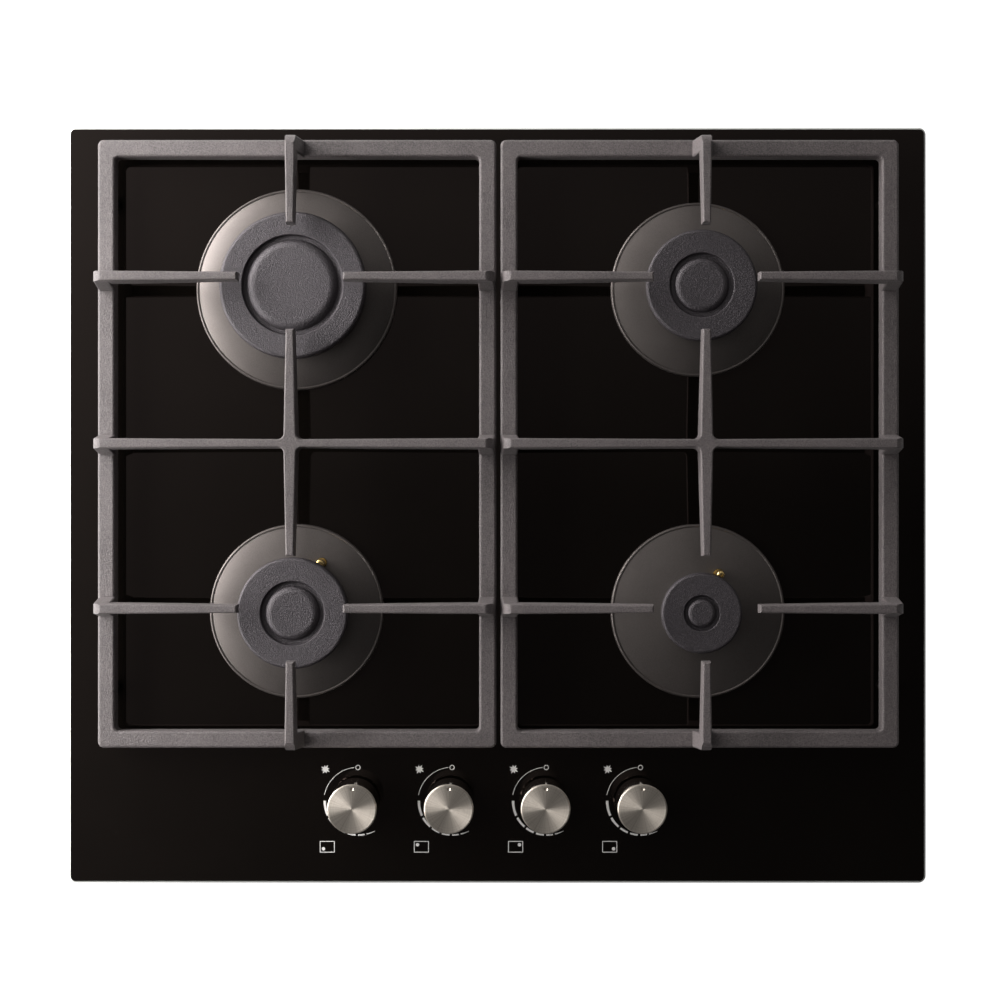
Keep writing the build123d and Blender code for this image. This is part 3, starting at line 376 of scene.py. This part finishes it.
class Print:
    """Flat marks on the glass, drawn in mm about a dial's centre and given the thickness of the ink."""

    def __init__(self, x, y):
        self.x, self.y = x, y
        self.mesh = bmesh.new()

    def vertex(self, u, v, z):
        return self.mesh.verts.new(((self.x + u) * MM, (self.y + v) * MM, GLASS_TOP + z * MM))

    def ribbon(self, outer, inner, closed=False):
        """A strip between two lines with the same number of points."""
        rows = [[self.vertex(*p, z) for p in line] for line, z in ((outer, INK), (inner, INK), (inner, 0.0), (outer, 0.0))]
        count = len(outer)
        for i in range(count if closed else count - 1):
            j = (i + 1) % count
            for a, b in ((0, 1), (1, 2), (2, 3), (3, 0)):
                self.mesh.faces.new((rows[a][i], rows[b][i], rows[b][j], rows[a][j]))
        if not closed:
            self.mesh.faces.new([rows[k][0] for k in (3, 2, 1, 0)])
            self.mesh.faces.new([rows[k][-1] for k in (0, 1, 2, 3)])

    def patch(self, outline):
        top = [self.vertex(*p, INK) for p in outline]
        low = [self.vertex(*p, 0.0) for p in outline]
        self.mesh.faces.new(top)
        self.mesh.faces.new(list(reversed(low)))
        for i in range(len(outline)):
            j = (i + 1) % len(outline)
            self.mesh.faces.new((low[i], low[j], top[j], top[i]))

    def arc(self, start, end, width, end_width=None, steps=36):
        end_width = width if end_width is None else end_width
        outer, inner = [], []
        for i in range(steps + 1):
            t = i / steps
            a, half = math.radians(start + (end - start) * t), (width + (end_width - width) * t) / 2
            # the outer line keeps its radius and the inner one closes in on it as the dash thins out
            outer.append(((DIAL_R + 0.35) * math.cos(a), (DIAL_R + 0.35) * math.sin(a)))
            inner.append(((DIAL_R + 0.35 - 2 * half) * math.cos(a), (DIAL_R + 0.35 - 2 * half) * math.sin(a)))
        self.ribbon(outer, inner)

    def ring(self, u, v, radius, width, steps=40):
        turn = [math.tau * i / steps for i in range(steps)]
        self.ribbon([(u + radius * math.cos(a), v + radius * math.sin(a)) for a in turn],
                    [(u + (radius - width) * math.cos(a), v + (radius - width) * math.sin(a)) for a in turn], closed=True)

    def disc(self, u, v, radius, steps=28):
        self.patch([(u + radius * math.cos(math.tau * i / steps), v + radius * math.sin(math.tau * i / steps)) for i in range(steps)])

    def box(self, u, v, w, h, width, corner=0.9):
        def line(w, h, r):
            points = []
            for cx, cy, a0 in ((w / 2 - r, h / 2 - r, 0), (-w / 2 + r, h / 2 - r, 90), (-w / 2 + r, -h / 2 + r, 180), (w / 2 - r, -h / 2 + r, 270)):
                points += [(u + cx + r * math.cos(math.radians(a0 + k * 15)), v + cy + r * math.sin(math.radians(a0 + k * 15))) for k in range(7)]
            return points
        self.ribbon(line(w, h, corner), line(w - 2 * width, h - 2 * width, corner - width * 0.8), closed=True)

    def star(self, u, v):
        points = []
        for i in range(16):
            a = math.radians(13 + 22.5 * i)
            r = 1.7 if i % 2 else (2.9 if i % 4 == 0 else 3.5)
            points.append((u + r * math.cos(a), v + r * math.sin(a)))
        self.patch(points)

    def finish(self, name):
        bmesh.ops.recalc_face_normals(self.mesh, faces=self.mesh.faces)
        data = bpy.data.meshes.new(name)
        self.mesh.to_mesh(data)
        self.mesh.free()
        piece = bpy.data.objects.new(name, data)
        scene.collection.objects.link(piece)
        data.materials.append(finishes["printed_ink"])
        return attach(piece, "root")


for knob_x, name in zip(KNOB_X, KNOB_NAMES):
    dial = Print(knob_x + 1.3, DIAL_Y)
    dial.ring(0.0, DIAL_R, 1.8, 0.55)
    dial.arc(96.3, 169.0, 0.38)
    for start, end, width in ((178.9, 205.4, 1.7), (209.6, 229.2, 1.55), (233.2, 248.0, 1.4), (252.2, 265.9, 1.25), (270.0, 281.6, 1.1)):
        dial.arc(start, end, width, width - 0.12)
    dial.arc(284.8, 300.0, 0.95, 0.25)
    dial.star(-22.4, 22.1)
    dial.box(-21.1, -31.2, 10.3, 7.9, 0.5, 0.4)
    dial.disc(-21.1 + DOTS[name][0], -31.2 + DOTS[name][1], 1.2)
    dial.finish(f"dial_print_{name}")

# -------------------------------------------------------------------- stage
floor_mesh = bpy.data.meshes.new("floor")
floor_mesh.from_pydata([(-6, -6, -0.0005), (6, -6, -0.0005), (6, 6, -0.0005), (-6, 6, -0.0005)], [], [(0, 1, 2, 3)])
floor = bpy.data.objects.new("floor", floor_mesh)
scene.collection.objects.link(floor)
paper = Finish("floor_paper", specular=0.1)
paper.shader.inputs["Emission Color"].default_value = (1.0, 1.0, 1.0, 1.0)
paper.feed(paper.shader.inputs["Emission Strength"], paper.mix(paper.add("ShaderNodeLightPath").outputs["Is Camera Ray"], 0.06, 1.0))
fibre = paper.noise(900.0, 2.0)
floor_mesh.materials.append(paper.set(color=paper.blend(fibre, (0.62, 0.62, 0.62), (0.68, 0.68, 0.68)), rough=paper.span(fibre, 0.3, 0.7, 0.7, 0.9)))


def area_light(name, place, aim, width, height, power, color=(1.0, 1.0, 1.0), spread=math.pi):
    data = bpy.data.lights.new(name, "AREA")
    data.spread = spread
    data.shape, data.size, data.size_y, data.energy, data.color = "RECTANGLE", width, height, power, color
    lamp = bpy.data.objects.new(name, data)
    scene.collection.objects.link(lamp)
    lamp.location = place
    lamp.rotation_mode = "QUATERNION"
    lamp.rotation_quaternion = (Vector(aim) - Vector(place)).to_track_quat("-Z", "Y")
    lamp.visible_camera = False
    return lamp


# a wide, low softbox with a grid, close by on the left and turned a little to the front
area_light("softbox", (-0.585, 0.168, 0.212), (-0.085, 0.0275, 0.0312), 1.40, 0.275, 7.5, (1.0, 0.985, 0.965), 1.966)

# studio walls: dim overhead, lighter towards the left and near the horizon
world = bpy.data.worlds.new("studio")
scene.world = world
world.use_nodes = True
tree = world.node_tree
tree.nodes.clear()


def world_node(kind, *values, **settings):
    node = tree.nodes.new(kind)
    for key, value in settings.items():
        setattr(node, key, value)
    for socket, value in zip(node.inputs, values):
        if isinstance(value, bpy.types.NodeSocket):
            tree.links.new(value, socket)
        elif value is not None:
            socket.default_value = value
    return node.outputs


direction = world_node("ShaderNodeTexCoord")["Generated"]
dx, dy, dz = world_node("ShaderNodeSeparateXYZ", direction)
lean = world_node("ShaderNodeVectorMath", direction, (-0.92, 0.38, 0.0), operation="DOT_PRODUCT")["Value"]
glow = world_node("ShaderNodeMath", world_node("ShaderNodeMath", lean, 6.2, operation="MULTIPLY")[0], operation="EXPONENT")[0]
glow = world_node("ShaderNodeMath", world_node("ShaderNodeMath", glow, 0.043, operation="MULTIPLY")[0], 0.40, operation="MINIMUM")[0]
band = world_node("ShaderNodeMapRange", dz, 0.05, 0.42, 0.08, 0.0, interpolation_type="SMOOTHSTEP")[0]
rear = world_node("ShaderNodeMapRange", dy, 0.0, 1.0, 0.02, 0.38)[0]
level = world_node("ShaderNodeMath", world_node("ShaderNodeMath", glow, band, operation="ADD")[0], rear, operation="ADD")[0]
seen = world_node("ShaderNodeLightPath")["Is Camera Ray"]
strength = world_node("ShaderNodeMix", seen, None, level, 1.0, data_type="FLOAT")[0]
background = world_node("ShaderNodeBackground", (1.0, 0.985, 0.965, 1.0), strength)[0]
tree.links.new(background, tree.nodes.new("ShaderNodeOutputWorld").inputs["Surface"])

scene.view_settings.view_transform = "Standard"
scene.view_settings.look = "None"
scene.view_settings.exposure = 0.0
scene.view_settings.gamma = 1.0

bpy.context.view_layer.update()
